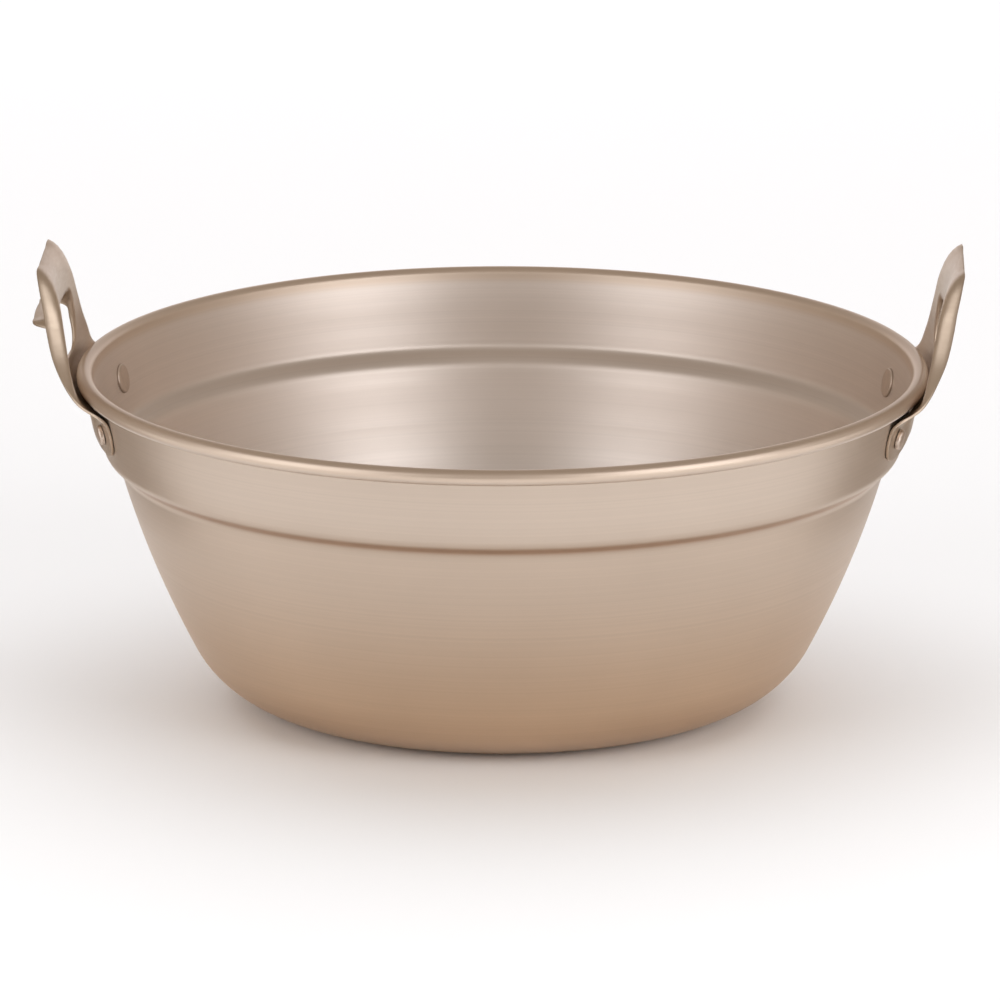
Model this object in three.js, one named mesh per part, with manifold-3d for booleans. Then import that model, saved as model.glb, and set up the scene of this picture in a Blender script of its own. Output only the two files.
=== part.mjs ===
// A stepped boiling pot of pressed aluminium sheet, with two riveted sheet handles.
// Millimetres, +Z up. The origin is the centre of the flat base, and the handles stand at +X and -X.

import * as THREE from 'three';
import { mergeVertices } from 'three/addons/utils/BufferGeometryUtils.js';
import Module from 'manifold-3d';

const wasm = await Module();
wasm.setup();

// --- Driving dimensions -------------------------------------------------------------------------------------

const SHEET = 2;                    // thickness of the pot's sheet
const HANDLE_SHEET = 1.2;           // thickness of the handles' sheet
const GAP = 0.3;                    // clearance between touching pieces

const POT_HEIGHT = 149;             // base to the top of the rolled bead
const RIM_RADIUS = 187;             // pot axis to the outside of the bead
const BEAD_RADIUS = 3.5;            // outside radius of the rolled bead
const BEAD_END = -105;              // where the curl stops, in degrees round the bead's centre
const BASE_RADIUS = 93;             // flat of the base
const CORNER_RADIUS = 49;           // base to wall
const WALL_FOOT_LEAN = 27.3;        // wall's lean from upright where it leaves the corner, in degrees
const LEDGE_FOOT = new THREE.Vector2(168.7, 107.8);    // bowl wall meets the ledge, outside
const LEDGE_HEAD = new THREE.Vector2(174.8, 112.1);    // ledge meets the upper band, outside
const LEDGE_FILLET = 3.2;           // length of each fillet at the ledge's two bends
const POT_SEGMENTS = 64;
const CURVE_STEPS = 3;              // facets along each curve of the profile
const CLOSEST_POINTS = 0.05;        // nearer points of the profile are dropped

const RIVET_AZIMUTH = 15.8;         // each rivet's angle from its handle's middle, in degrees
const RIVET_HEIGHT = 129.2;         // base to the rivets' centres
const SHANK_RADIUS = 2.5;
const HEAD_RADIUS = 6.5;            // flat head inside the pot
const HEAD_THICKNESS = 0.9;
const HEAD_BEVEL = { in: 0.7, down: 0.5 };
const BUTTON_RADIUS = 4.7;          // peened button outside
const BUTTON_THICKNESS = 2.2;
const BUTTON_BEVEL = { in: 1, down: 1.1, crown: 0.3 };
const HEAD_GAP = 0.45;              // head and button to the curved sheets
const RIVET_SEGMENTS = 14;
const DRILL_LENGTH = 16;            // of the cylinder that cuts a rivet's hole

// --- Materials ----------------------------------------------------------------------------------------------

const champagne = () => new THREE.MeshStandardMaterial({ color: 0xd3bfae, roughness: 0.38, metalness: 1 });
const rivetMetal = () => new THREE.MeshStandardMaterial({ color: 0xc8b6a8, roughness: 0.45, metalness: 1 });

// --- Solids that are cut ------------------------------------------------------------------------------------

const SAME_POINT = 1e-4;            // points nearer than this are one

function toSolid(geometry) {
  const bare = geometry.clone();
  bare.deleteAttribute('normal');
  bare.deleteAttribute('uv');
  const merged = mergeVertices(bare, SAME_POINT);
  return new wasm.Manifold(new wasm.Mesh({
    numProp: 3,
    vertProperties: new Float32Array(merged.attributes.position.array),
    triVerts: new Uint32Array(merged.index.array),
  }));
}

function toGeometry(solid) {
  const mesh = solid.getMesh();
  const geometry = new THREE.BufferGeometry();
  geometry.setAttribute('position', new THREE.BufferAttribute(mesh.vertProperties, 3));
  geometry.setIndex(new THREE.BufferAttribute(mesh.triVerts, 1));
  geometry.computeVertexNormals();
  return geometry;
}

function cut(geometry, tools) {
  return toGeometry(tools.reduce((solid, tool) => solid.subtract(toSolid(tool)), toSolid(geometry)));
}

// --- Pot body -----------------------------------------------------------------------------------------------

const beadCentre = new THREE.Vector2(RIM_RADIUS - BEAD_RADIUS, POT_HEIGHT - BEAD_RADIUS);
const curlInside = BEAD_RADIUS - SHEET;

// The band's outer face runs from the ledge straight into the inside of the curl.
const toBead = beadCentre.clone().sub(LEDGE_HEAD);
const bandLean = Math.atan2(toBead.x, toBead.y) - Math.asin(curlInside / toBead.length());
const bandUp = new THREE.Vector2(Math.sin(bandLean), Math.cos(bandLean));
const bandOut = new THREE.Vector2(bandUp.y, -bandUp.x);

function bandRadius(height) {
  return LEDGE_HEAD.x + (height - LEDGE_HEAD.y) * Math.tan(bandLean);
}

// The outer face of the sheet, from the middle of the base to the end of the curl.
function outerFace() {
  const lean = THREE.MathUtils.degToRad(WALL_FOOT_LEAN);
  const wallUp = new THREE.Vector2(Math.sin(lean), Math.cos(lean));
  const foot = new THREE.Vector2(BASE_RADIUS + CORNER_RADIUS * wallUp.y, CORNER_RADIUS * (1 - wallUp.x));
  const bulge = foot.clone().addScaledVector(wallUp, foot.distanceTo(LEDGE_FOOT) / 2);
  const along = LEDGE_HEAD.clone().sub(LEDGE_FOOT).normalize();
  const below = LEDGE_FOOT.clone().sub(bulge).normalize();
  const face = new THREE.Path();
  face.moveTo(0, 0);
  face.lineTo(BASE_RADIUS, 0);
  face.absarc(BASE_RADIUS, CORNER_RADIUS, CORNER_RADIUS, -Math.PI / 2, -lean);
  const turn = (corner, before, after, radius) => {
    const end = corner.clone().addScaledVector(after, radius);
    return [corner.clone().addScaledVector(before, -radius), corner, end];
  };
  const [wallEnd, footCorner, slopeStart] = turn(LEDGE_FOOT, below, along, LEDGE_FILLET);
  face.quadraticCurveTo(bulge.x, bulge.y, wallEnd.x, wallEnd.y);
  face.quadraticCurveTo(footCorner.x, footCorner.y, slopeStart.x, slopeStart.y);
  const [slopeEnd, headCorner, bandStart] = turn(LEDGE_HEAD, along, bandUp, LEDGE_FILLET);
  face.lineTo(slopeEnd.x, slopeEnd.y);
  face.quadraticCurveTo(headCorner.x, headCorner.y, bandStart.x, bandStart.y);
  const curlStart = beadCentre.clone().addScaledVector(bandOut, -curlInside);
  face.lineTo(curlStart.x, curlStart.y);
  face.absarc(beadCentre.x, beadCentre.y, curlInside, Math.PI - bandLean,
    THREE.MathUtils.degToRad(BEAD_END), true);
  return face;
}

// Points a given distance to the left of a line of points.
function offset(points, distance) {
  return points.map((point, i) => {
    const before = points[Math.max(i - 1, 0)];
    const after = points[Math.min(i + 1, points.length - 1)];
    const along = after.clone().sub(before).normalize();
    return new THREE.Vector2(point.x - along.y * distance, point.y + along.x * distance);
  });
}

function withoutRepeats(points) {
  return points.filter((point, i) => i === 0 || point.distanceTo(points[i - 1]) > CLOSEST_POINTS);
}

function potGeometry() {
  const outer = withoutRepeats(outerFace().getPoints(CURVE_STEPS));
  const inner = offset(outer, SHEET);
  inner[0].x = 0;
  const profile = [...outer, ...inner.reverse()];
  const pot = new THREE.LatheGeometry(profile, POT_SEGMENTS);
  pot.rotateX(Math.PI / 2);
  return cut(pot, [...rivetAxes(0), ...rivetAxes(180)].map(shankHole));
}

// --- Rivets -------------------------------------------------------------------------------------------------

// The two places, front and back, where a handle at the given azimuth is riveted through the band.
function rivetAxes(handleAzimuth) {
  return [-RIVET_AZIMUTH, RIVET_AZIMUTH].map((side) => {
    const azimuth = THREE.MathUtils.degToRad(handleAzimuth + side);
    const spin = new THREE.Quaternion().setFromAxisAngle(new THREE.Vector3(0, 0, 1), azimuth);
    const direction = new THREE.Vector3(bandOut.x, 0, bandOut.y).applyQuaternion(spin);
    const point = new THREE.Vector3(bandRadius(RIVET_HEIGHT), 0, RIVET_HEIGHT).applyQuaternion(spin);
    return { direction, point };
  });
}

// Turns a shape made along +Y so that it runs outward through the band at a rivet.
function seat(geometry, { direction, point }) {
  geometry.applyQuaternion(new THREE.Quaternion().setFromUnitVectors(new THREE.Vector3(0, 1, 0), direction));
  geometry.translate(point.x, point.y, point.z);
  return geometry;
}

function shankHole(axis) {
  const radius = SHANK_RADIUS + GAP;
  return seat(new THREE.CylinderGeometry(radius, radius, DRILL_LENGTH, RIVET_SEGMENTS), axis);
}

// A rivet along +Y, with 0 at the band's outer face.
function rivetGeometry() {
  const headFace = -SHEET - HEAD_GAP;
  const headTop = headFace - HEAD_THICKNESS;
  const buttonFace = HANDLE_SHEET + GAP + HEAD_GAP;
  const buttonTop = buttonFace + BUTTON_THICKNESS;
  const profile = [
    [0, headTop],
    [HEAD_RADIUS - HEAD_BEVEL.in, headTop],
    [HEAD_RADIUS, headTop + HEAD_BEVEL.down],
    [HEAD_RADIUS, headFace],
    [SHANK_RADIUS, headFace],
    [SHANK_RADIUS, buttonFace],
    [BUTTON_RADIUS, buttonFace],
    [BUTTON_RADIUS, buttonTop - BUTTON_BEVEL.down],
    [BUTTON_RADIUS - BUTTON_BEVEL.in, buttonTop - BUTTON_BEVEL.crown],
    [0, buttonTop],
  ];
  return new THREE.LatheGeometry(profile.map(([r, h]) => new THREE.Vector2(r, h)), RIVET_SEGMENTS);
}

// --- Handles ------------------------------------------------------------------------------------------------

// The plate's middle face: distance from the pot's axis at heights measured from the top of the bead.
const PLATE_PROFILE = [
  [50, 197], [40, 195.8], [32, 194.5], [20, 193.3], [9, 192.3], [0, 191.7], [-4, 190.9], [-6.5, 189.1],
  [-8.5, 186.2], [-10.2, 183.6], [-12, 181.6], [-14, 180.3],
];
const PLATE_WRAP = 190;             // radius at which distances across the plate are measured

// One half of the handle, from the middle of its top to the middle of its foot. Each row holds, as distance
// from the middle and height above the top of the bead, the finger hole's free edge, the bend behind it, the
// bend before the outer edge and the outer free edge. The two lone numbers say how far each edge stands out.
const HALF_HANDLE = [
  // hole edge, out   hole bend      outer bend    outer edge, out
  [[0, 22.8], 11.4,   [0, 29],       [0, 36.5],    [0, 48], 5],
  [[12, 22.8], 11.4,  [12, 29],      [14, 36.5],   [15, 48], 5.6],
  [[21.5, 22.8], 11.4, [22, 28.5],   [26.5, 35.5], [28.5, 47.6], 7.2],
  [[25.2, 19.5], 2.6, [27.5, 23.8],  [32, 30.5],   [34.5, 37], 7.4],
  [[26.2, 13.5], 1.4, [29.5, 15],    [36.5, 21.5], [38.5, 24.5], 7.4],
  [[26, 7.5], 0.6,    [29, 7.5],     [41.5, 11.5], [43.5, 13], 6.6],
  [[24.5, 3.2], 0.2,  [27.3, 1.8],   [47, 3.5],    [49.5, 4], 4.4],
  [[21.5, 1], 0,      [23.5, -1.8],  [51.5, -3],   [55, -3], 2.2],
  [[17.5, 0.6], 0,    [18.5, -2.8],  [55.5, -8.5], [60, -7.8], 1],
  [[14, 0.5], 0,      [15, -3],      [59.5, -14.5], [64, -11.5], 0.2],
  [[11.5, 0.5], 0,    [12, -3],      [60.5, -20],  [65.6, -19.5], 0],
  [[9, 0.5], 0,       [9.5, -3],     [56, -24.5],  [62, -26.6], 0],
  [[7, 0.5], 0,       [7.2, -3],     [49.5, -25.5], [53.5, -29.6], 0],
  [[5.2, 0.5], 0,     [5.4, -3],     [40.5, -24.5], [42, -29.2], 0],
  [[3.6, 0.5], 0,     [3.7, -3],     [30.5, -21.5], [31, -25], 0],
  [[1.8, 0.5], 0,     [1.8, -3],     [17, -20.5],  [17, -24], 0],
  [[0, 0.5], 0,       [0, -3],       [0, -20],     [0, -23.6], 0],
];
const LIP = { left: 1, right: 0.45 };       // how far the finger hole's edge is bent out
const TWIST = { left: 0.021, right: 0 };    // how much more the plate stands out for each mm across it
const BEND_STEPS = 3;               // facets round each bend
const BEND_TURN = Math.PI / 2.4;    // angle that each bend turns through
const PLATE_STEPS = 6;              // facets across the plate between the bends
const STANDOFF = 1.2;               // plate to band between the rivets, where the foot isn't drawn tight
const STANDOFF_ENDS = [32, 47];     // distances across the plate over which it closes up to the band
const TWIST_ENDS = [-8, 8];         // heights over which the twist sets in

function plateRadius(across, height) {
  const apart = STANDOFF * (1 - THREE.MathUtils.smoothstep(Math.abs(across), ...STANDOFF_ENDS));
  const wall = bandRadius(height + POT_HEIGHT) + GAP / Math.cos(bandLean) + HANDLE_SHEET / 2 + apart;
  const last = PLATE_PROFILE.length - 1;
  if (height <= PLATE_PROFILE[last][0]) return wall;
  const above = Math.max(PLATE_PROFILE.findIndex(([h]) => h < height), 1);
  const [high, low] = [PLATE_PROFILE[above - 1], PLATE_PROFILE[above]];
  return Math.max(THREE.MathUtils.mapLinear(height, low[0], high[0], low[1], high[1]), wall);
}

// A point of the plate, standing out from it by a given amount, for a handle at +X.
function onPlate(across, height, out, twist) {
  const angle = across / PLATE_WRAP;
  const free = THREE.MathUtils.smoothstep(height, ...TWIST_ENDS);
  const radius = plateRadius(across, height) + out + free * twist * across;
  return new THREE.Vector3(radius * Math.cos(angle), radius * Math.sin(angle), POT_HEIGHT + height);
}

// One row of points across the sheet, from the hole's free edge to the outer free edge.
function sheetRow([holeEdge, holeOut, holeBend, outerBend, outerEdge, outerOut], side, way) {
  const mix = (a, b, t) => [THREE.MathUtils.lerp(a[0], b[0], t), THREE.MathUtils.lerp(a[1], b[1], t)];
  const bend = (root, edge, out, t) => {
    const turn = t * BEND_TURN;
    const [across, height] = mix(root, edge, Math.sin(turn) / Math.sin(BEND_TURN));
    return onPlate(way * across, height, out * (1 - Math.cos(turn)) / (1 - Math.cos(BEND_TURN)), TWIST[side]);
  };
  const row = [];
  for (let i = BEND_STEPS; i > 0; i -= 1) {
    row.push(bend(holeBend, holeEdge, holeOut * LIP[side], i / BEND_STEPS));
  }
  for (let i = 0; i <= PLATE_STEPS; i += 1) {
    const [across, height] = mix(holeBend, outerBend, i / PLATE_STEPS);
    row.push(onPlate(way * across, height, 0, TWIST[side]));
  }
  for (let i = 1; i <= BEND_STEPS; i += 1) {
    row.push(bend(outerBend, outerEdge, outerOut, i / BEND_STEPS));
  }
  return row;
}

// The sheet's closed solid: the grid of rows, thickened to both sides and closed along its two free edges.
function thicken(rows) {
  const count = rows.length;
  const width = rows[0].length;
  const normal = (k, j) => {
    const along = rows[(k + 1) % count][j].clone().sub(rows[(k + count - 1) % count][j]);
    const over = rows[k][Math.min(j + 1, width - 1)].clone().sub(rows[k][Math.max(j - 1, 0)]);
    return along.cross(over).normalize();
  };
  const vertices = [];
  rows.forEach((row, k) => row.forEach((point, j) => {
    const half = normal(k, j).multiplyScalar(HANDLE_SHEET / 2);
    vertices.push(...point.clone().add(half).toArray(), ...point.clone().sub(half).toArray());
  }));
  const at = (k, j, side) => ((k % count) * width + j) * 2 + side;
  const indices = [];
  const quad = (a, b, c, d) => indices.push(a, b, c, a, c, d);
  for (let k = 0; k < count; k += 1) {
    for (let j = 0; j < width - 1; j += 1) {
      quad(at(k, j, 0), at(k + 1, j, 0), at(k + 1, j + 1, 0), at(k, j + 1, 0));
      quad(at(k, j, 1), at(k, j + 1, 1), at(k + 1, j + 1, 1), at(k + 1, j, 1));
    }
    quad(at(k, 0, 0), at(k, 0, 1), at(k + 1, 0, 1), at(k + 1, 0, 0));
    quad(at(k, width - 1, 1), at(k, width - 1, 0), at(k + 1, width - 1, 0), at(k + 1, width - 1, 1));
  }
  const geometry = new THREE.BufferGeometry();
  geometry.setAttribute('position', new THREE.BufferAttribute(new Float32Array(vertices), 3));
  geometry.setIndex(indices);
  return geometry;
}

// A handle at +X. Its rows run once round the finger hole, down one half and up the other.
function handleGeometry(side) {
  const down = HALF_HANDLE.map((row) => sheetRow(row, side, 1));
  const up = HALF_HANDLE.slice(1, -1).reverse().map((row) => sheetRow(row, side, -1));
  return cut(thicken([...down, ...up]), rivetAxes(0).map(shankHole));
}

// --- Assembly -----------------------------------------------------------------------------------------------

const pot = new THREE.Group();

function addMesh(name, geometry, material) {
  const mesh = new THREE.Mesh(geometry, material);
  mesh.name = name;
  pot.add(mesh);
  return mesh;
}

addMesh('pot_body', potGeometry(), champagne());
addMesh('handle_right', handleGeometry('right'), champagne());
addMesh('handle_left', handleGeometry('left'), champagne()).rotation.z = Math.PI;

for (const [side, azimuth, names] of [['right', 0, ['front', 'back']], ['left', 180, ['back', 'front']]]) {
  rivetAxes(azimuth).forEach((axis, i) => {
    addMesh(`rivet_${side}_${names[i]}`, seat(rivetGeometry(), axis), rivetMetal());
  });
}

export default pot;
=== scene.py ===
"""A stepped boiling pot of pressed aluminium sheet with two riveted handles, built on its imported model."""

import math

import bpy
from bpy.props import FloatProperty, IntProperty, PointerProperty, StringProperty
from mathutils import Matrix, Vector


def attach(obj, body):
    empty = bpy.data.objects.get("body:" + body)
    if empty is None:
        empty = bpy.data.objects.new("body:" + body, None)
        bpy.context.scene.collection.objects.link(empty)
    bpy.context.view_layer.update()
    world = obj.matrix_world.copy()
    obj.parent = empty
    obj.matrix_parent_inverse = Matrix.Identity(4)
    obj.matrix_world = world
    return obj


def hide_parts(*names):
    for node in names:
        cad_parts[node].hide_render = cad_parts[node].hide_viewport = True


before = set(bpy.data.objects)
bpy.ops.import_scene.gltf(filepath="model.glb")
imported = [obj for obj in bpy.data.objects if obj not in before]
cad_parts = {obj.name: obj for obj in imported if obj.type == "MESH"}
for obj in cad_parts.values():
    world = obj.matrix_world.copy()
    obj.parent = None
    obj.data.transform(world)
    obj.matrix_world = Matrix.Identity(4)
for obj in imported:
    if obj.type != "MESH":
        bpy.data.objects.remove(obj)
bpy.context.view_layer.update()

bl_info = {
    "name": "Stepped Boiling Pot",
    "version": (1, 0, 0),
    "blender": (4, 5, 0),
    "location": "View3D > Sidebar > Boiling Pot",
    "description": "Makes a pressed aluminium boiling pot with two riveted handles, and a plain studio",
    "category": "Object",
}

MM = 0.001
BODY = "root"

# The plate of a handle, in mm: height from the top of the rim's bead, and distance from the pot's axis.
PLATE_PROFILE = [
    (50, 197), (40, 195.8), (32, 194.5), (20, 193.3), (9, 192.3), (0, 191.7), (-4, 190.9), (-6.5, 189.1),
    (-8.5, 186.2), (-10.2, 183.6), (-12, 181.6), (-14, 180.3),
]
PLATE_WRAP = 190        # radius at which distances across the plate are measured

# Half a handle, from the middle of its top to the middle of its foot, as distances across the plate and
# heights from the top of the bead, in mm: the finger hole's free edge and how far it stands out, the bend
# behind it, the bend before the outer edge, and the outer free edge and how far that stands out.
HALF_HANDLE = [
    (0, 22.8, 11.4, 0, 29, 0, 36.5, 0, 48, 5),
    (12, 22.8, 11.4, 12, 29, 14, 36.5, 15, 48, 5.6),
    (21.5, 22.8, 11.4, 22, 28.5, 26.5, 35.5, 28.5, 47.6, 7.2),
    (25.2, 19.5, 2.6, 27.5, 23.8, 32, 30.5, 34.5, 37, 7.4),
    (26.2, 13.5, 1.4, 29.5, 15, 36.5, 21.5, 38.5, 24.5, 7.4),
    (26, 7.5, 0.6, 29, 7.5, 41.5, 11.5, 43.5, 13, 6.6),
    (24.5, 3.2, 0.2, 27.3, 1.8, 47, 3.5, 49.5, 4, 4.4),
    (21.5, 1, 0, 23.5, -1.8, 51.5, -3, 55, -3, 2.2),
    (17.5, 0.6, 0, 18.5, -2.8, 55.5, -8.5, 60, -7.8, 1),
    (14, 0.5, 0, 15, -3, 59.5, -14.5, 64, -11.5, 0.2),
    (11.5, 0.5, 0, 12, -3, 60.5, -20, 65.6, -19.5, 0),
    (9, 0.5, 0, 9.5, -3, 56, -24.5, 62, -26.6, 0),
    (7, 0.5, 0, 7.2, -3, 49.5, -25.5, 53.5, -29.6, 0),
    (5.2, 0.5, 0, 5.4, -3, 40.5, -24.5, 42, -29.2, 0),
    (3.6, 0.5, 0, 3.7, -3, 30.5, -21.5, 31, -25, 0),
    (1.8, 0.5, 0, 1.8, -3, 17, -20.5, 17, -24, 0),
    (0, 0.5, 0, 0, -3, 0, -20, 0, -23.6, 0),
]
LIP = {"left": 1.0, "right": 0.45}        # how far the finger hole's edge is bent out
TWIST = {"left": 0.021, "right": 0.0}     # how much more the plate stands out for each mm across it
TWIST_ENDS = (-8, 8)    # heights from the top of the bead over which the twist sets in
PLATE_BLEND = 1.4       # how far up and down the plate's bends are evened out, in mm
BLEND_PLACES = (-1.0, -0.5, 0.0, 0.5, 1.0)
BEND_TURN = math.pi / 2.4        # angle that the sheet turns through at each of its two bends
BEND_STEPS, PLATE_STEPS = 6, 16  # facets round each bend, and across the plate between them

CORNER_STEPS, WALL_STEPS, FILLET_STEPS, CURL_STEPS = 18, 14, 8, 18    # facets of the pot's section
RIVET_FACETS = 40
DRILL_SHEETS = 8        # length of the tool that cuts a shank hole, in thicknesses of the pot's sheet

# In section, the edge of a rivet's flat head and the edge of its button, each point as mm in from the radius
# and mm down from the end face, and the button's crown inside its edge, as shares of the radius and mm down.
HEAD_EDGE = ((0.9, 0.0), (0.45, 0.06), (0.15, 0.2), (0.02, 0.42), (0.0, 0.6))
BUTTON_EDGE = ((0.0, 1.1), (0.14, 0.75), (0.45, 0.45), (0.9, 0.22))
BUTTON_CROWN = ((0.62, 0.08), (0.4, 0.02), (0.2, 0.0))

# Heights on the pot at which its finish changes, in mm. The first three place a band of painted shade just
# under the ledge.
LEDGE_SHADE_HEIGHT, LEDGE_SHADE_CORE, LEDGE_SHADE_REACH = 109.6, 0.6, 2.8      # the last two are up and down from the first
# Painted shade and painted reflection: below these heights the wall is painted darker and warmer towards the
# base.
WALL_TONE_TOP, BAND_TONE_TOP = 100, 125
BEAD_FADE = 3           # height over which the bead takes on its own tone

FLOOR_SIZE, FLOOR_DROP = 60, 0.0005      # the floor's width and its drop below the base, in m
ROOM_TONE, ROOM_STRENGTH = "#FFF2E6", 0.46
LAMP_TARGET = (0, 0, 0.1)
# Name, azimuth from the camera's side in degrees, distance, height, width and tallness in m, power in W,
# colour, and whether the metal mirrors it.
LAMPS = (
    ("soft_box_left", -53, 1.9, 0.7, 1.6, 1.6, 12.0, "#F2F7FF", True),
    ("soft_box_right", 50, 1.9, 0.7, 1.5, 1.6, 14.5, "#F2F7FF", True),
    ("back_wall", 180, 2.4, 0.55, 3.6, 1.1, 8.5, "#F4F4FF", True),
    ("low_fill_left", -50, 1.5, 0.55, 0.9, 0.5, 3.0, "#F7FAFF", False),
    ("low_fill_right", 50, 1.5, 0.55, 0.9, 0.5, 4.5, "#F7FAFF", False),
    ("floor_wash", 180, 1.5, 3.0, 6.0, 6.0, 128, "#ECF4FF", False),
)
# Places and sizes in m, and turns in degrees. The flag on the left is the one on the right turned over.
FLAG_PLACE, FLAG_SIZE, FLAG_TURN = (0.31, 0.31, 0.19), (0.72, 0.38), 84
CAMERA_PLACE, CAMERA_TILT, CAMERA_TURN = (0.1103, -4.8607, 1.3691), 75.233, 1.3
CAMERA_LENS, CAMERA_SENSOR, CAMERA_SHIFT = 410.99, 36, -0.0025  # mm, mm, and a share of the view's width


# --- Sizes and finishes that a user would change ------------------------------------------------------------

def length(name, description, millimetres):
    """A length that a user can change, given in mm and kept in m."""
    return FloatProperty(name=name, description=description, default=millimetres * MM, min=0.0,
                         unit="LENGTH", precision=4)


class PotSizes(bpy.types.PropertyGroup):
    sheet: length("Sheet", "Thickness of the pot's sheet", 2)
    height: length("Height", "From the base to the top of the rolled bead", 149)
    rim_radius: length("Rim Radius", "From the axis to the outside of the bead", 187)
    bead_radius: length("Bead Radius", "Outside radius of the rolled bead", 3.5)
    base_radius: length("Base Radius", "Flat of the base", 93)
    corner_radius: length("Corner Radius", "Bend from the base to the wall", 49)
    ledge_foot_radius: length("Ledge Foot Radius", "Where the bowl wall meets the ledge, outside", 168.7)
    ledge_foot_height: length("Ledge Foot Height", "Height of the ledge's foot", 107.8)
    ledge_head_radius: length("Ledge Head Radius", "Where the ledge meets the upper band, outside", 174.8)
    ledge_head_height: length("Ledge Head Height", "Height of the ledge's head", 112.1)
    ledge_fillet: length("Ledge Fillet", "Length of the fillets at the ledge's bends", 3.2)
    foot_lean: FloatProperty(name="Foot Lean",
                             description="Wall's lean from upright where it leaves the corner",
                             default=math.radians(27.3), subtype="ANGLE")
    bead_end: FloatProperty(name="Bead End", description="Where the curl stops, round the bead's centre",
                            default=math.radians(-105), min=-math.pi, subtype="ANGLE")
    segments: IntProperty(name="Segments", description="Facets round the pot", default=192, min=24)


class HandleSizes(bpy.types.PropertyGroup):
    sheet: length("Sheet", "Thickness of the handles' sheet", 1.2)
    gap: length("Gap", "Clearance between a tab and the band", 0.3)
    standoff: length("Standoff", "Plate to band between the rivets, where the foot isn't drawn tight", 1.2)
    standoff_start: length("Standoff Start", "Distance across the plate where it starts to close up", 32)
    standoff_end: length("Standoff End", "Distance across the plate where it meets the band", 47)
    edge: length("Cut Edge", "Rounding of the sheet's cut edges", 0.16)
    steps: IntProperty(name="Steps", description="Facets between two rows of the plate", default=6, min=1)


class RivetSizes(bpy.types.PropertyGroup):
    azimuth: FloatProperty(name="Azimuth", description="Angle from the middle of the handle to each rivet",
                           default=math.radians(15.8), subtype="ANGLE")
    height: length("Height", "From the base to the rivets' centres", 129.2)
    shank_radius: length("Shank Radius", "Radius of the shank", 2.5)
    head_radius: length("Head Radius", "Radius of the flat head inside", 6.5)
    head_thickness: length("Head Thickness", "Thickness of the flat head", 0.9)
    button_radius: length("Button Radius", "Radius of the hammered end outside", 4.7)
    button_thickness: length("Button Thickness", "Thickness of the hammered end", 2.2)
    seat_gap: length("Seat Gap", "Button to the curved tab", 0.3)
    head_gap: length("Head Gap", "Flat head to the curved band", 0.12)


class PotFinishes(bpy.types.PropertyGroup):
    band: StringProperty(name="Band", description="Anodised sheet of the upper band", default="#CEBEAF")
    # Painted shade and painted reflection: the wall and foot tones are darker and warmer than the band's,
    # standing in for the shaded floor and warm bounce light mirrored low on the pot.
    wall: StringProperty(name="Wall", description="Anodised sheet of the bowl's wall", default="#CAB8A7")
    foot: StringProperty(name="Foot", description="Anodised sheet round the base", default="#CDB195")
    # Painted shade: a darker band just under the ledge, where its underside faces down.
    ledge_shade: StringProperty(name="Crease", description="Sheet under the ledge, where the wheel burnished it",
                           default="#B3937A")
    bead: StringProperty(name="Bead", description="Anodised sheet of the rolled bead", default="#D3C0AE")
    inside: StringProperty(name="Inside", description="Anodised sheet inside the band", default="#DBCEC3")
    # Painted shade: the inside is painted darker and greyer deeper in the bowl.
    inside_low_painted_shade: StringProperty(name="Inside Low", description="Anodised sheet inside the bowl",
                               default="#CFC8C1")
    handle: StringProperty(name="Handle", description="Anodised sheet of the handles", default="#C4B19D")
    rivet: StringProperty(name="Rivet", description="Plain aluminium of the rivets", default="#D0BFB0")
    line_pitch: length("Line Pitch", "Spacing of the fine lines left by spinning", 1.1)
    roughness: FloatProperty(name="Roughness", description="Roughness of the anodised sheet", default=0.4,
                             min=0.0, max=1.0, subtype="FACTOR")


# --- Materials ----------------------------------------------------------------------------------------------

def colour(hex_value):
    """An sRGB hex colour as linear red, green, blue and alpha."""
    parts = [int(hex_value[i:i + 2], 16) / 255 for i in (1, 3, 5)]
    return [p / 12.92 if p <= 0.04045 else ((p + 0.055) / 1.055) ** 2.4 for p in parts] + [1.0]


def add(tree, kind, inputs=None, **settings):
    """Adds a node, sets its own settings, and sets or links its inputs."""
    node = tree.nodes.new("ShaderNode" + kind)
    for name, value in settings.items():
        setattr(node, name, value)
    for key, value in (inputs or {}).items():
        if isinstance(value, bpy.types.NodeSocket):
            tree.links.new(value, node.inputs[key])
        else:
            node.inputs[key].default_value = value
    return node


def new_material(name):
    """An empty node material, with its tree and its output."""
    material = bpy.data.materials.new(name)
    material.use_nodes = True
    tree = material.node_tree
    tree.nodes.clear()
    return material, tree, tree.nodes.new("ShaderNodeOutputMaterial")


def spread(tree, noise, low, high):
    """A noise's middle range, spread from a low to a high value."""
    return add(tree, "MapRange", {"Value": noise.outputs[0], "From Min": 0.3, "From Max": 0.7,
                                  "To Min": low, "To Max": high}).outputs[0]


def rise(tree, height, start, end):
    """0 up to one height and 1 from another on, in mm, with a smooth rise between."""
    return add(tree, "MapRange", {"Value": height, "From Min": start * MM, "From Max": end * MM,
                                  "To Min": 0.0, "To Max": 1.0}, interpolation_type="SMOOTHSTEP").outputs[0]


def blend(tree, share, below, above):
    """One colour passing into another."""
    return add(tree, "Mix", {0: share, 6: below, 7: above}, data_type="RGBA").outputs[2]


def scaled(tree, tone, share):
    """A colour made lighter or darker."""
    return add(tree, "VectorMath", {0: tone, "Scale": share}, operation="SCALE").outputs[0]


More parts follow.
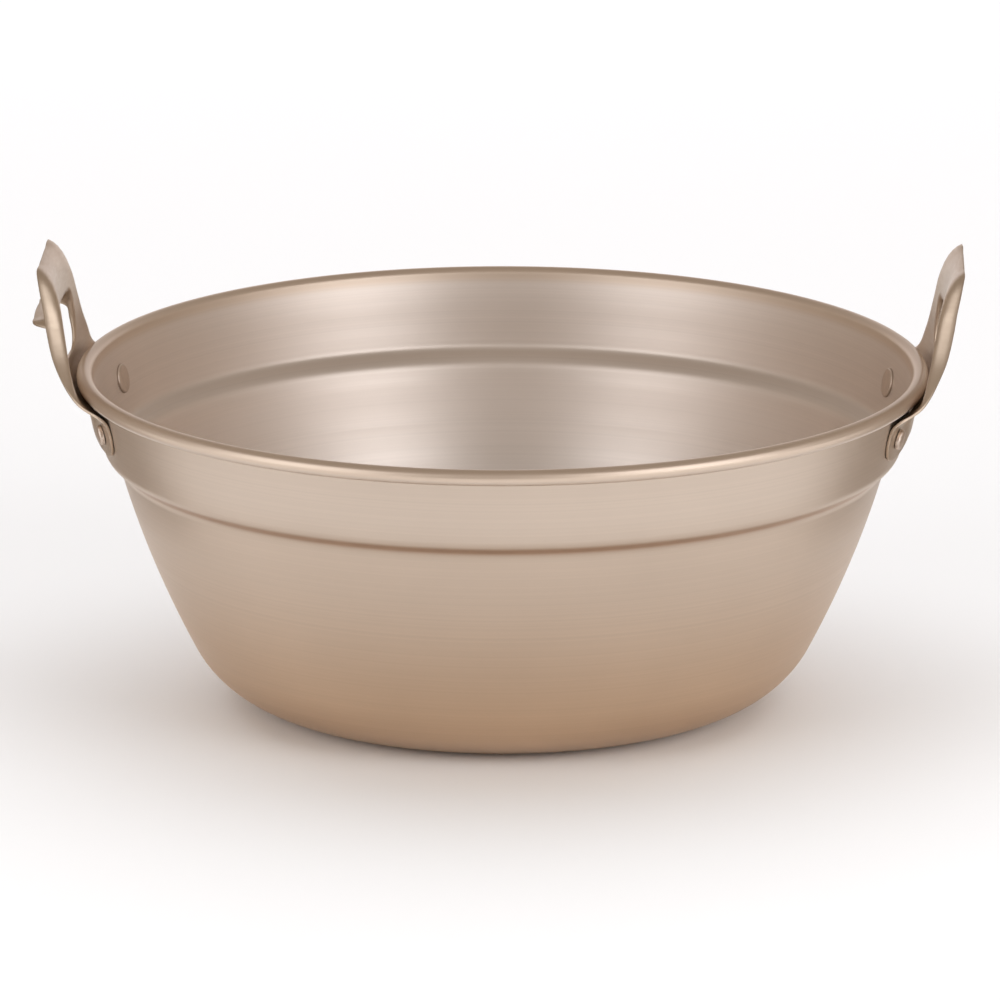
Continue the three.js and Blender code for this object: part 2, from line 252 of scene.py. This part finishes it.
def bare_metal(tree, output, tone, roughness, grain, depth, **inputs):
    """Ends a material as metal of a given colour, roughness and depth of grain."""
    bump = add(tree, "Bump", {"Strength": 1.0, "Distance": depth, "Height": grain.outputs[0]})
    shader = add(tree, "BsdfPrincipled", {"Base Color": tone, "Metallic": 1.0, "Roughness": roughness,
                                          "Normal": bump.outputs[0], **inputs})
    tree.links.new(shader.outputs[0], output.inputs[0])


def spun_anodised_aluminium(name, foot, wall, band_tone, ledge_shade, bead_foot, finishes, grain=1.0):
    """Aluminium spun over a former and anodised champagne: a satin metal with faint rings round its axis,
    which draw each light out into an upright streak. The colour is deeper on the bead. Painted shade and
    painted reflection make it darker and warmer towards the base, and a band of painted shade darkens it
    just under the ledge."""
    material, tree, output = new_material(name)
    place = add(tree, "TexCoord").outputs["Object"]
    flat = add(tree, "VectorMath", {0: place, 1: (1, 1, 0)}, operation="MULTIPLY").outputs[0]
    radius = add(tree, "VectorMath", {0: flat}, operation="LENGTH").outputs["Value"]
    height = add(tree, "SeparateXYZ", {0: place}).outputs["Z"]
    # The same value all round at one radius and height, so that the pattern runs in rings.
    ring = add(tree, "CombineXYZ", {"X": radius, "Y": height}).outputs[0]
    fine = add(tree, "TexNoise", {"Vector": ring, "Scale": 1 / finishes.line_pitch, "Detail": 3.0,
                                  "Roughness": 0.6})
    broad = add(tree, "TexNoise", {"Vector": ring, "Scale": 0.09 / finishes.line_pitch, "Detail": 2.0})
    # Painted shade: a darker band just under the ledge, darkest at its middle height.
    away = add(tree, "Math", {0: height, 1: LEDGE_SHADE_HEIGHT * MM}, operation="SUBTRACT")
    off = add(tree, "Math", {0: away.outputs[0]}, operation="ABSOLUTE")
    under = add(tree, "MapRange", {"Value": off.outputs[0], "From Min": LEDGE_SHADE_CORE * MM,
                                   "From Max": LEDGE_SHADE_REACH * MM, "To Min": 0.75, "To Max": 0.0},
                interpolation_type="SMOOTHSTEP")
    top = add(tree, "MapRange", {"Value": height, "From Min": bead_foot,
                                 "From Max": bead_foot + BEAD_FADE * MM, "To Min": 0.0, "To Max": 1.0})
    # Painted shade and painted reflection: the colour passes from the band's tone down to a darker, warmer
    # tone round the base.
    bowl = blend(tree, rise(tree, height, 0, WALL_TONE_TOP), colour(foot), colour(wall))
    sides = blend(tree, rise(tree, height, WALL_TONE_TOP, BAND_TONE_TOP), bowl, colour(band_tone))
    ledge_shaded = blend(tree, under.outputs[0], sides, colour(ledge_shade))
    tone = blend(tree, top.outputs[0], ledge_shaded, colour(finishes.bead))
    # Handling and the dye bath leave clouds some centimetres wide.
    cloud = add(tree, "TexNoise", {"Vector": place, "Scale": 14.0, "Detail": 3.0, "Roughness": 0.55})
    both = add(tree, "Math", {0: spread(tree, cloud, 0.975, 1.02), 1: spread(tree, fine, 0.97, 1.03)},
               operation="MULTIPLY")
    rough = spread(tree, broad, finishes.roughness - 0.03, finishes.roughness + 0.03)
    tangent = add(tree, "Tangent", direction_type="RADIAL", axis="Z")
    bare_metal(tree, output, scaled(tree, tone, both.outputs[0]), rough, fine, 0.012 * MM * grain,
               Anisotropic=0.45, Tangent=tangent.outputs[0])
    return material


def pressed_anodised_aluminium(name, tone, finishes):
    """Aluminium sheet blanked, pressed and then anodised: even satin, with the faint pull marks of the press
    along the plate."""
    material, tree, output = new_material(name)
    place = add(tree, "TexCoord").outputs["Object"]
    stretch = add(tree, "Mapping", {"Vector": place, "Scale": (1.0, 1.0, 6.0)})
    pull = add(tree, "TexNoise", {"Vector": stretch.outputs[0], "Scale": 1 / (6 * finishes.line_pitch),
                                  "Detail": 4.0, "Roughness": 0.6})
    cloud = add(tree, "TexNoise", {"Vector": place, "Scale": 60.0, "Detail": 2.0})
    tinted = scaled(tree, colour(tone)[:3], spread(tree, cloud, 0.96, 1.03))
    rough = spread(tree, pull, finishes.roughness - 0.05, finishes.roughness + 0.04)
    bare_metal(tree, output, tinted, rough, pull, 0.03 * MM)
    return material


def hammered_aluminium(name, tone):
    """Plain aluminium rivet, set cold with a hammer: duller than the sheet, with small flats and dents."""
    material, tree, output = new_material(name)
    place = add(tree, "TexCoord").outputs["Object"]
    dents = add(tree, "TexNoise", {"Vector": place, "Scale": 450.0, "Detail": 2.0, "Roughness": 0.5})
    tinted = scaled(tree, colour(tone)[:3], spread(tree, dents, 0.9, 1.06))
    bare_metal(tree, output, tinted, spread(tree, dents, 0.34, 0.46), dents, 0.12 * MM)
    return material


# --- Shaping ------------------------------------------------------------------------------------------------

def edit(open_edges=False):
    """Goes into edit mode on the active object, with its open edges selected or everything."""
    bpy.ops.object.mode_set(mode="EDIT")
    bpy.ops.mesh.select_mode(type="EDGE")
    if open_edges:
        bpy.ops.mesh.select_all(action="DESELECT")
        bpy.ops.mesh.select_non_manifold(extend=False, use_wire=True, use_boundary=True,
                                         use_multi_face=False, use_non_contiguous=False, use_verts=False)
    else:
        bpy.ops.mesh.select_all(action="SELECT")


def raise_rings(line, segments, closed=False):
    """A disc whose edge is extruded ring by ring through a line of (radius, height) points about Z."""
    bpy.ops.object.select_all(action="DESELECT")
    bpy.ops.mesh.primitive_circle_add(vertices=segments, radius=line[0][0], fill_type="TRIFAN",
                                      location=(0, 0, 0))
    piece = bpy.context.object
    edit()
    bpy.ops.transform.translate(value=(0, 0, line[0][1]))
    bpy.ops.object.mode_set(mode="OBJECT")
    edit(open_edges=True)
    for (r0, h0), (r1, h1) in zip(line, line[1:]):
        bpy.ops.mesh.extrude_region_move(TRANSFORM_OT_translate={"value": (0, 0, h1 - h0)})
        bpy.ops.transform.resize(value=(r1 / r0, r1 / r0, 1), center_override=(0, 0, h1))
    if closed:
        bpy.ops.mesh.edge_face_add()
    bpy.ops.mesh.select_all(action="SELECT")
    bpy.ops.mesh.remove_doubles(threshold=0.002 * MM)
    bpy.ops.mesh.normals_make_consistent(inside=False)
    bpy.ops.object.mode_set(mode="OBJECT")
    lowest = min(piece.data.polygons, key=lambda face: face.center.z)
    if lowest.normal.z > 0:
        edit()
        bpy.ops.mesh.flip_normals()
        bpy.ops.object.mode_set(mode="OBJECT")
    return piece


def pick(*pieces):
    """Selects only these pieces, with the first one active."""
    bpy.ops.object.select_all(action="DESELECT")
    for piece in pieces:
        piece.select_set(True)
    bpy.context.view_layer.objects.active = pieces[0]


def apply_modifier(piece, kind, **settings):
    """Adds a modifier to a piece and applies it."""
    pick(piece)
    modifier = piece.modifiers.new(kind.title(), kind)
    for name, value in settings.items():
        setattr(modifier, name, value)
    bpy.ops.object.modifier_apply(modifier=modifier.name)


def smooth(piece, degrees):
    """Shades a piece smooth, apart from edges sharper than an angle."""
    pick(piece)
    bpy.ops.object.shade_smooth_by_angle(angle=math.radians(degrees))


def finish_piece(piece, name, node, material=None):
    """Names a piece, gives it its finish if it has none yet, and puts it on its body in place of its plain
    solid."""
    piece.name = piece.data.name = name
    if material:
        piece.data.materials.clear()
        piece.data.materials.append(material)
    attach(piece, BODY)
    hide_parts(node)


def shank_drill(handle_azimuths, pot, handle, rivet):
    """Cylinders on the axes of the handles' rivets, joined as one tool that cuts the shank holes."""
    drills = []
    for azimuth in handle_azimuths:
        for side in (-1, 1):
            bpy.ops.object.select_all(action="DESELECT")
            bpy.ops.mesh.primitive_cylinder_add(vertices=RIVET_FACETS, location=(0, 0, 0),
                                                radius=rivet.shank_radius + handle.gap,
                                                depth=DRILL_SHEETS * pot.sheet)
            drill = bpy.context.object
            drill.data.transform(rivet_seat(azimuth + side * rivet.azimuth, pot, rivet))
            drills.append(drill)
    pick(*drills)
    bpy.ops.object.join()
    return drills[0]


def drill_holes(piece, tool):
    """Cuts the shank holes in a piece and clears the tool away."""
    apply_modifier(piece, "BOOLEAN", object=tool, operation="DIFFERENCE", solver="EXACT")
    bpy.data.objects.remove(tool, do_unlink=True)


# --- The pot ------------------------------------------------------------------------------------------------

def band(pot):
    """In section: the bead's centre, and the upper band's lean, upward direction and outward direction. The
    band runs from the ledge straight into the curl."""
    bead = Vector((pot.rim_radius - pot.bead_radius, pot.height - pot.bead_radius))
    reach = bead - Vector((pot.ledge_head_radius, pot.ledge_head_height))
    lean = math.atan2(reach.x, reach.y) - math.asin((pot.bead_radius - pot.sheet) / reach.length)
    up = Vector((math.sin(lean), math.cos(lean)))
    return bead, lean, up, Vector((up.y, -up.x))


def band_radius(height, pot):
    """Distance of the band's outer face from the axis at a height from the base."""
    return pot.ledge_head_radius + (height - pot.ledge_head_height) * math.tan(band(pot)[1])


def arc(centre, radius, start, end, steps):
    """Points round part of a circle."""
    angles = [start + (end - start) * i / steps for i in range(steps + 1)]
    return [Vector((centre[0] + radius * math.cos(a), centre[1] + radius * math.sin(a))) for a in angles]


def bend(start, corner, end, steps):
    """Points after the start of a curve that leaves for a corner and arrives from it."""
    points = []
    for i in range(1, steps + 1):
        t = i / steps
        points.append(start * (1 - t) ** 2 + corner * 2 * t * (1 - t) + end * t ** 2)
    return points


def outer_face(pot):
    """The outer face of the sheet in section, from the edge of the base to the end of the curl."""
    bead, lean, band_up, band_out = band(pot)
    wall_up = Vector((math.sin(pot.foot_lean), math.cos(pot.foot_lean)))
    ledge_foot = Vector((pot.ledge_foot_radius, pot.ledge_foot_height))
    ledge_head = Vector((pot.ledge_head_radius, pot.ledge_head_height))
    corner = (pot.base_radius, pot.corner_radius)
    points = arc(corner, pot.corner_radius, -math.pi / 2, -pot.foot_lean, CORNER_STEPS)
    foot = points[-1]
    bulge = foot + wall_up * ((foot - ledge_foot).length / 2)
    below = (ledge_foot - bulge).normalized()
    along = (ledge_head - ledge_foot).normalized()
    points += bend(foot, bulge, ledge_foot - below * pot.ledge_fillet, WALL_STEPS)
    points += bend(points[-1], ledge_foot, ledge_foot + along * pot.ledge_fillet, FILLET_STEPS)
    slope_end = ledge_head - along * pot.ledge_fillet
    points += [slope_end]
    points += bend(slope_end, ledge_head, ledge_head + band_up * pot.ledge_fillet, FILLET_STEPS)
    curl = pot.bead_radius - pot.sheet
    curl_start = bead - band_out * curl
    points += [(points[-1] + curl_start) / 2]
    points += arc(bead, curl, math.pi - lean, pot.bead_end, CURL_STEPS)
    return [tuple(point) for point in points]


class BOILINGPOT_OT_body(bpy.types.Operator):
    """Spins the pot's sheet up from its base, with its ledge, its band and its rolled bead"""

    bl_idname = "object.boiling_pot_body"
    bl_label = "Pot Body"

    def execute(self, context):
        pot, finishes = context.scene.pot_sizes, context.scene.pot_finishes
        piece = raise_rings(outer_face(pot), pot.segments)
        bead_foot = pot.height - 2 * pot.bead_radius
        piece.data.materials.append(spun_anodised_aluminium(
            "spun_champagne_anodised_aluminium", finishes.foot, finishes.wall, finishes.band,
            finishes.ledge_shade, bead_foot, finishes))
        # The curl turns the sheet's inner face outward, so the bead shows the inside finish.
        # Inside, the tone is painted darker and greyer deeper in the bowl, as painted shade.
        piece.data.materials.append(spun_anodised_aluminium(
            "spun_champagne_anodised_aluminium_inside", finishes.inside_low_painted_shade, finishes.inside, finishes.inside,
            finishes.inside, bead_foot, finishes, grain=0.7))
        apply_modifier(piece, "SOLIDIFY", thickness=pot.sheet, offset=-1.0, use_even_offset=True,
                       material_offset=1, material_offset_rim=1)
        tool = shank_drill((0, math.pi), pot, context.scene.handle_sizes, context.scene.rivet_sizes)
        drill_holes(piece, tool)
        smooth(piece, 32)
        finish_piece(piece, "pot_shell", "pot_body")
        return {"FINISHED"}


# --- The handles --------------------------------------------------------------------------------------------

def ease(value, start, end):
    """0 up to start and 1 from end on, with a smooth rise between."""
    t = min(max((value - start) / (end - start), 0.0), 1.0)
    return t * t * (3 - 2 * t)


def plate_radius(across, height, pot, handle):
    """Distance of the plate's middle face from the axis, at a height from the top of the bead, all in mm. It
    is averaged over a short stretch up and down, which rounds the bends of the profile."""
    lean = band(pot)[1]
    apart = handle.standoff * (1 - ease(abs(across) * MM, handle.standoff_start, handle.standoff_end))
    wall = (band_radius(height * MM + pot.height, pot) + handle.gap / math.cos(lean) + handle.sheet / 2
            + apart) / MM
    total = 0.0
    for place in BLEND_PLACES:
        h = height + place * PLATE_BLEND
        if h <= PLATE_PROFILE[-1][0]:
            total += wall
            continue
        above = max(next(i for i, (level, _) in enumerate(PLATE_PROFILE) if level < h), 1)
        (h1, r1), (h0, r0) = PLATE_PROFILE[above - 1], PLATE_PROFILE[above]
        total += max(r0 + (r1 - r0) * (h - h0) / (h1 - h0), wall)
    return total / len(BLEND_PLACES)


def on_plate(across, height, out, twist, pot, handle):
    """A point that stands out from the plate by a given amount, for a handle at +X."""
    angle = across / PLATE_WRAP
    radius = plate_radius(across, height, pot, handle) + out + ease(height, *TWIST_ENDS) * twist * across
    return Vector((radius * math.cos(angle), radius * math.sin(angle), pot.height / MM + height)) * MM


def between_rows(rows, steps):
    """Rows in a closed loop with smoothly eased rows between them."""
    made = []
    count = len(rows)
    for k in range(count):
        a, b, c, d = (rows[(k + i) % count] for i in (-1, 0, 1, 2))
        for i in range(steps):
            t = i / steps
            made.append([0.5 * (2 * q + (r - p) * t + (2 * p - 5 * q + 4 * r - s) * t * t
                                + (3 * q - p - 3 * r + s) * t ** 3) for p, q, r, s in zip(a, b, c, d)])
    return made


def bent(root, edge, out, share):
    """A place on the bend between the plate and a free edge: across, height and how far it stands out."""
    turn = BEND_TURN * share
    s, c = math.sin(turn) / math.sin(BEND_TURN), (1 - math.cos(turn)) / (1 - math.cos(BEND_TURN))
    return root[0] + (edge[0] - root[0]) * s, root[1] + (edge[1] - root[1]) * s, out * c


def sheet_row(row, side, pot, handle):
    """Points across the sheet, from the hole's free edge, over its bend and the plate, to the outer edge."""
    hole_x, hole_h, hole_out, root_x, root_h, bend_x, bend_h, edge_x, edge_h, edge_out = row
    hole, root, outer, edge = (hole_x, hole_h), (root_x, root_h), (bend_x, bend_h), (edge_x, edge_h)
    places = [bent(root, hole, hole_out * LIP[side], i / BEND_STEPS) for i in range(BEND_STEPS, 0, -1)]
    for i in range(PLATE_STEPS + 1):
        t = i / PLATE_STEPS
        places.append((root_x + (bend_x - root_x) * t, root_h + (bend_h - root_h) * t, 0.0))
    places += [bent(outer, edge, edge_out, i / BEND_STEPS) for i in range(1, BEND_STEPS + 1)]
    return [on_plate(*place, TWIST[side], pot, handle) for place in places]


def mirrored(row):
    """The same row on the other half of the handle, with each distance across the plate turned over."""
    return tuple(-value if i in (0, 3, 5, 7) else value for i, value in enumerate(row))


class BOILINGPOT_OT_handles(bpy.types.Operator):
    """Presses the two sheet handles, with their flanged finger holes and their tabs on the band"""

    bl_idname = "object.boiling_pot_handles"
    bl_label = "Handles"

    def execute(self, context):
        scene = context.scene
        pot, handle, finishes = scene.pot_sizes, scene.handle_sizes, scene.pot_finishes
        material = pressed_anodised_aluminium("pressed_champagne_anodised_aluminium", finishes.handle,
                                              finishes)
        loop = HALF_HANDLE + [mirrored(row) for row in HALF_HANDLE[-2:0:-1]]
        for side, turn in (("right", 0.0), ("left", math.pi)):
            grid = [sheet_row(row, side, pot, handle) for row in between_rows(loop, handle.steps)]
            piece = self.press(grid)
            piece.data.transform(Matrix.Rotation(turn, 4, "Z"))
            apply_modifier(piece, "SOLIDIFY", thickness=handle.sheet, offset=0.0)
            apply_modifier(piece, "BEVEL", width=handle.edge, segments=2, limit_method="ANGLE",
                           angle_limit=math.radians(60))
            drill_holes(piece, shank_drill((turn,), pot, handle, scene.rivet_sizes))
            smooth(piece, 40)
            finish_piece(piece, "handle_plate_" + side, "handle_" + side,
                         material)
        return {"FINISHED"}

    def press(self, grid):
        """A ring extruded once for each point across the sheet, then pressed into the handle's shape."""
        rows, columns = len(grid), len(grid[0])
        bpy.ops.object.select_all(action="DESELECT")
        bpy.ops.mesh.primitive_circle_add(vertices=rows, radius=1.0, fill_type="NOTHING",
                                          location=(0, 0, 0))
        piece = bpy.context.object
        edit()
        for _ in range(columns - 1):
            bpy.ops.mesh.extrude_region_move(TRANSFORM_OT_translate={"value": (0, 0, 1)})
        bpy.ops.object.mode_set(mode="OBJECT")
        for vertex in piece.data.vertices:
            row = round(math.atan2(vertex.co.y, vertex.co.x) / (2 * math.pi) * rows) % rows
            vertex.co = grid[row][round(vertex.co.z)]
        edit()
        bpy.ops.mesh.normals_make_consistent(inside=False)
        bpy.ops.object.mode_set(mode="OBJECT")
        return piece


# --- The rivets ---------------------------------------------------------------------------------------------

def rivet_seat(azimuth, pot, rivet):
    """Turns and moves a shape made along +Z so that it runs outward through the band at a rivet."""
    out = band(pot)[3]
    direction = Vector((out.x * math.cos(azimuth), out.x * math.sin(azimuth), out.y))
    radius = band_radius(rivet.height, pot)
    place = Vector((radius * math.cos(azimuth), radius * math.sin(azimuth), rivet.height))
    return Matrix.Translation(place) @ direction.to_track_quat("Z", "Y").to_matrix().to_4x4()


class BOILINGPOT_OT_rivets(bpy.types.Operator):
    """Sets four rivets, each with a flat head inside the pot and a hammered button on the tab"""

    bl_idname = "object.boiling_pot_rivets"
    bl_label = "Rivets"

    def execute(self, context):
        scene = context.scene
        pot, handle, rivet = scene.pot_sizes, scene.handle_sizes, scene.rivet_sizes
        material = hammered_aluminium("cold_set_aluminium", scene.pot_finishes.rivet)
        places = (("right_front", 0.0, -1), ("right_back", 0.0, 1), ("left_back", math.pi, -1),
                  ("left_front", math.pi, 1))
        for number, (name, azimuth, side) in enumerate(places):
            piece = raise_rings(self.line(pot, handle, rivet), RIVET_FACETS, closed=True)
            self.hammer(piece, number, pot, handle, rivet)
            smooth(piece, 40)
            piece.data.transform(rivet_seat(azimuth + side * rivet.azimuth, pot, rivet))
            finish_piece(piece, "set_rivet_" + name, "rivet_" + name, material)
        return {"FINISHED"}

    def line(self, pot, handle, rivet):
        """The rivet in section, from the flat head to the button, with 0 at the band's outer face."""
        head = -pot.sheet - rivet.head_gap
        top = head - rivet.head_thickness
        button = handle.sheet + handle.gap + rivet.seat_gap
        end = button + rivet.button_thickness
        hr, br, sr, rounding = rivet.head_radius, rivet.button_radius, rivet.shank_radius, 0.1 * MM
        line = [(hr * 0.5, top)]
        line += [(hr - inward * MM, top + down * MM) for inward, down in HEAD_EDGE]
        line += [(hr, head - rounding), (hr - rounding, head)]
        line += [(sr + 2 * rounding, head), (sr, head + rounding)]
        line += [(sr, button - rounding), (sr + rounding, button)]
        line += [(br - 0.15 * MM, button), (br, button + 0.12 * MM)]
        line += [(br - inward * MM, end - down * MM) for inward, down in BUTTON_EDGE]
        line += [(br * share, end - down * MM) for share, down in BUTTON_CROWN]
        return line

    def hammer(self, piece, number, pot, handle, rivet):
        """Knocks the button a little out of round and off level, each rivet its own way."""
        button = handle.sheet + handle.gap + rivet.seat_gap
        for vertex in piece.data.vertices:
            if vertex.co.z < button + 0.05 * MM:
                continue
            angle = math.atan2(vertex.co.y, vertex.co.x)
            share = math.hypot(vertex.co.x, vertex.co.y) / rivet.button_radius
            inward = (0.025 * (1 + math.cos(3 * angle + 1.7 * number))
                      + 0.02 * (1 + math.cos(5 * angle - number)))
            vertex.co.x *= 1 - inward * share
            vertex.co.y *= 1 - inward * share
            vertex.co.z -= 0.09 * MM * share * (1 + math.cos(2 * angle + 0.9 * number))


# --- The studio ---------------------------------------------------------------------------------------------

class BOILINGPOT_OT_stage(bpy.types.Operator):
    """Lays a plain pale floor, sets soft lights round the pot and stands the camera in front of it"""

    bl_idname = "object.boiling_pot_stage"
    bl_label = "Studio"

    def execute(self, context):
        scene = context.scene
        self.lay_floor()
        self.light_room(scene)
        for lamp in LAMPS:
            self.set_lamp(scene, *lamp)
        self.hang_flags()
        self.stand_camera(scene)
        scene.view_settings.view_transform = "Standard"
        return {"FINISHED"}

    def add_sheet(self, name, material, **place):
        """A flat stage piece."""
        bpy.ops.object.select_all(action="DESELECT")
        bpy.ops.mesh.primitive_plane_add(**place)
        sheet = bpy.context.object
        sheet.name = name
        sheet.data.materials.append(material)
        return sheet

    def matt(self, name, tone, roughness):
        """A plain matt finish."""
        material, tree, output = new_material(name)
        shader = add(tree, "BsdfPrincipled", {"Base Color": colour(tone), "Roughness": roughness})
        tree.links.new(shader.outputs[0], output.inputs[0])
        return material

    def lay_floor(self):
        """A pale board just under the base, wide enough to fill the view."""
        board = self.matt("matt_white_board", "#F4F3F1", 0.9)
        self.add_sheet("studio_floor", board, size=FLOOR_SIZE, location=(0, 0, -FLOOR_DROP))

    def light_room(self, scene):
        """An even pale room, as a metal pot would mirror it."""
        world = bpy.data.worlds.new("studio_room")
        world.use_nodes = True
        background = world.node_tree.nodes["Background"]
        background.inputs[0].default_value = colour(ROOM_TONE)
        background.inputs[1].default_value = ROOM_STRENGTH
        scene.world = world

    def set_lamp(self, scene, name, azimuth, distance, height, width, tall, power, tint, mirrored_in_metal):
        """A rectangular lamp round the pot, turned towards its middle and hidden from the camera."""
        lamp = bpy.data.lights.new(name, "AREA")
        lamp.shape, lamp.size, lamp.size_y, lamp.energy = "RECTANGLE", width, tall, power
        lamp.color = colour(tint)[:3]
        light = bpy.data.objects.new(name, lamp)
        light.visible_glossy, light.visible_camera = mirrored_in_metal, False
        scene.collection.objects.link(light)
        turn = math.radians(azimuth)
        light.location = (distance * math.sin(turn), -distance * math.cos(turn), height)
        light.rotation_euler = (Vector(LAMP_TARGET) - light.location).to_track_quat("-Z", "Y").to_euler()

    def hang_flags(self):
        """Dark flags behind on both sides, seen only in the metal, that give the pot's flanks their edge."""
        cloth = self.matt("dark_flag_cloth", "#B8ADA0", 1.0)
        along, back, up = FLAG_PLACE
        for name, side in (("dark_flag_left", -1), ("dark_flag_right", 1)):
            flag = self.add_sheet(name, cloth, size=1, location=(side * along, back, up),
                                  rotation=(math.pi / 2, 0, side * math.radians(FLAG_TURN)))
            flag.scale = (*FLAG_SIZE, 1)
            flag.visible_camera = flag.visible_shadow = flag.visible_diffuse = False

    def stand_camera(self, scene):
        """A long lens some way off, looking a little down on the rim."""
        lens = bpy.data.cameras.new("studio_camera")
        lens.sensor_width, lens.lens, lens.shift_x = CAMERA_SENSOR, CAMERA_LENS, CAMERA_SHIFT
        lens.clip_start, lens.clip_end = 0.1, 100
        camera = bpy.data.objects.new("studio_camera", lens)
        scene.collection.objects.link(camera)
        camera.location = CAMERA_PLACE
        camera.rotation_euler = (math.radians(CAMERA_TILT), 0, math.radians(CAMERA_TURN))
        scene.camera = camera


class BOILINGPOT_PT_panel(bpy.types.Panel):
    """The pot's sizes, finishes and steps"""

    bl_idname = "BOILINGPOT_PT_panel"
    bl_label = "Boiling Pot"
    bl_space_type = "VIEW_3D"
    bl_region_type = "UI"
    bl_category = "Boiling Pot"

    def draw(self, context):
        for group in GROUPS:
            box = self.layout.box()
            settings = getattr(context.scene, group)
            for name in type(settings).__annotations__:
                box.prop(settings, name)
        for step in STEPS:
            self.layout.operator(step.bl_idname)


GROUPS = {"pot_sizes": PotSizes, "handle_sizes": HandleSizes, "rivet_sizes": RivetSizes,
          "pot_finishes": PotFinishes}
STEPS = (BOILINGPOT_OT_body, BOILINGPOT_OT_handles, BOILINGPOT_OT_rivets, BOILINGPOT_OT_stage)


def register():
    for name, group in GROUPS.items():
        bpy.utils.register_class(group)
        setattr(bpy.types.Scene, name, PointerProperty(type=group))
    for item in (*STEPS, BOILINGPOT_PT_panel):
        bpy.utils.register_class(item)


def unregister():
    for item in (BOILINGPOT_PT_panel, *reversed(STEPS)):
        bpy.utils.unregister_class(item)
    for name, group in GROUPS.items():
        delattr(bpy.types.Scene, name)
        bpy.utils.unregister_class(group)


def main():
    register()
    bpy.ops.object.boiling_pot_body()
    bpy.ops.object.boiling_pot_handles()
    bpy.ops.object.boiling_pot_rivets()
    bpy.ops.object.boiling_pot_stage()


if __name__ == "__main__":
    main()
